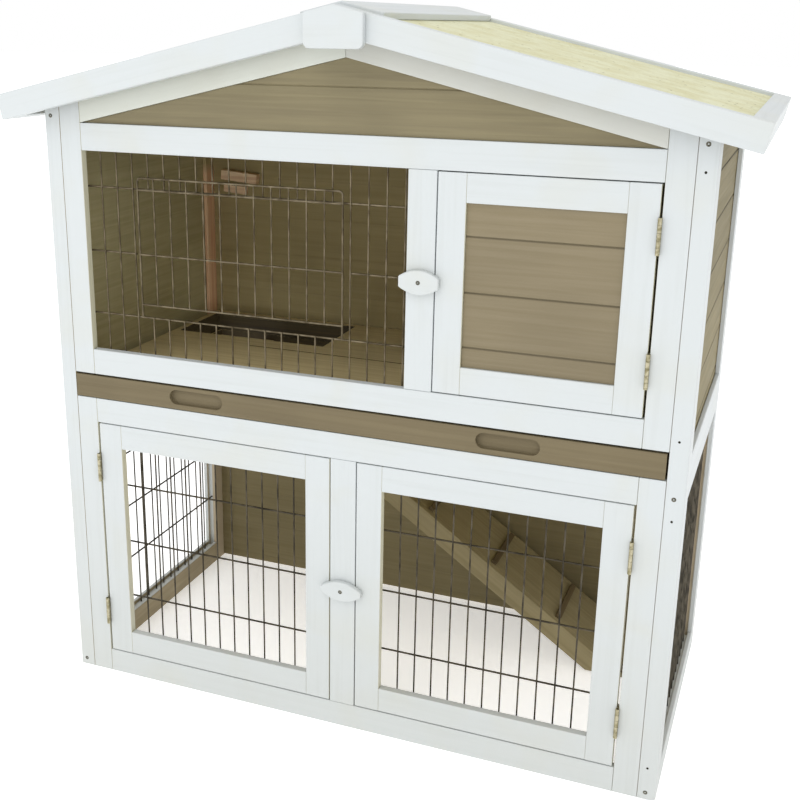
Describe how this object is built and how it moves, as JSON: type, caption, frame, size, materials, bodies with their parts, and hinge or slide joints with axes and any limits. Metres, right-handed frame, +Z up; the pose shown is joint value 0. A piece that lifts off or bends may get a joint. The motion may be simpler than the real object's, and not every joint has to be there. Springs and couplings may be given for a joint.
{
  "type": "rabbit hutch",
  "caption": "Two-storey wooden rabbit hutch with gable roof, wire window, hinged doors, pull-out tray and ramp to an open-bottomed run.",
  "frame": {"origin": "on the ground under the middle of the overall box", "axes": "+Z up, front face towards -Y, right-hand side towards +X"},
  "size_m": [1.0272, 0.5313, 1.0278],
  "materials": {
    "white_frame": "cool white paint over softwood, satin, faint grain",
    "white_door": "cool white paint over softwood, satin, faint grain",
    "white_roof_trim": "cool white paint over softwood, satin",
    "white_button": "white paint, smooth",
    "taupe_boarding": "grey-brown stain on tongue-and-groove softwood, low sheen",
    "taupe_inside": "grey-brown stain, low sheen",
    "taupe_tray": "grey-brown stain, low sheen",
    "roof_deck_ply": "stained plywood, matt",
    "bare_softwood": "unpainted reddish softwood, planed",
    "mineral_felt": "bitumen felt with pale sand-coloured mineral chips, rough",
    "galvanised_wire": "welded wire, darkened, semi-gloss",
    "hinge_steel": "passivated steel butt hinge, dull yellowish"
  },
  "bodies": {
    "carcass": {"back_panel": "taupe_boarding", "eave_board_left": "white_roof_trim", "eave_board_right": "white_roof_trim", "front_fascia_left": "white_roof_trim", "front_fascia_right": "white_roof_trim", "gable_panel": "taupe_boarding", "gable_trim_left": "white_frame", "gable_trim_right": "white_frame", "left_bottom_rail": "white_frame", "left_cladding": "taupe_boarding", "left_door_lower_hinge": "hinge_steel", "left_door_upper_hinge": "hinge_steel", "left_front_post": "white_frame", "left_mesh": "galvanised_wire", "left_mid_rail": "white_frame", "left_rear_post": "white_frame", "lower_bottom_rail": "white_frame", "lower_left_stile": "white_frame", "lower_mullion": "white_frame", "lower_right_stile": "white_frame", "lower_top_rail": "white_frame", "lower_wall_block": "bare_softwood", "nest_door_lower_hinge": "hinge_steel", "nest_door_upper_hinge": "hinge_steel", "nest_partition": "taupe_inside", "rear_fascia_left": "white_roof_trim", "rear_fascia_right": "white_roof_trim", "ridge_block": "white_roof_trim", "ridge_cap": "white_roof_trim", "right_bottom_rail": "white_frame", "right_cladding": "taupe_boarding", "right_door_lower_hinge": "hinge_steel", "right_door_upper_hinge": "hinge_steel", "right_front_post": "white_frame", "right_mesh": "galvanised_wire", "right_mid_rail": "white_frame", "right_rear_post": "white_frame", "roof_deck_left": "roof_deck_ply", "roof_deck_right": "roof_deck_ply", "roof_felt": "mineral_felt", "upper_bottom_rail": "white_frame", "upper_floor": "taupe_inside", "upper_left_stile": "white_frame", "upper_mullion": "white_frame", "upper_right_stile": "white_frame", "upper_top_rail": "white_frame", "upper_wall_block": "bare_softwood", "window_mesh": "galvanised_wire"},
    "nest_door": {"nest_door_frame": "white_door", "nest_door_panel": "taupe_boarding"},
    "left_door": {"left_door_frame": "white_door", "left_door_mesh": "galvanised_wire"},
    "right_door": {"right_door_frame": "white_door", "right_door_mesh": "galvanised_wire"},
    "wire_door": {"wire_door": "galvanised_wire"},
    "tray": {"tray_front": "taupe_tray", "tray_pan": "taupe_tray"},
    "ramp": {"ramp": "taupe_inside"},
    "upper_turn_button": {"upper_turn_button": "white_button"},
    "lower_turn_button": {"lower_turn_button": "white_button"}
  },
  "joints": [
    {"name": "nest_door_hinge", "type": "hinge", "parent": "carcass", "child": "nest_door", "pos_m": [0.3985, -0.2265, 0.683], "axis": [0, 0, 1], "range_deg": [0, 110]},
    {"name": "right_door_hinge", "type": "hinge", "parent": "carcass", "child": "right_door", "pos_m": [0.3985, -0.2265, 0.231], "axis": [0, 0, 1], "range_deg": [0, 110]},
    {"name": "left_door_hinge", "type": "hinge", "parent": "carcass", "child": "left_door", "pos_m": [-0.3985, -0.2265, 0.231], "axis": [0, 0, -1], "range_deg": [0, 110]},
    {"name": "wire_door_hinge", "type": "hinge", "parent": "carcass", "child": "wire_door", "pos_m": [-0.1565, -0.2123, 0.5915], "axis": [1, 0, 0], "range_deg": [0, 110]},
    {"name": "tray_slide", "type": "slide", "parent": "carcass", "child": "tray", "axis": [0, -1, 0], "range_m": [0, 0.38]},
    {"name": "ramp_hinge", "type": "hinge", "parent": "carcass", "child": "ramp", "pos_m": [-0.3035, 0.1375, 0.4465], "axis": [0, -1, 0], "range_deg": [0, 5]},
    {"name": "upper_button_turn", "type": "hinge", "parent": "carcass", "child": "upper_turn_button", "pos_m": [0.105, -0.2271, 0.685], "axis": [0, 1, 0], "range_deg": [-90, 90]},
    {"name": "lower_button_turn", "type": "hinge", "parent": "carcass", "child": "lower_turn_button", "pos_m": [0, -0.2271, 0.225], "axis": [0, 1, 0], "range_deg": [-90, 90]}
  ]
}
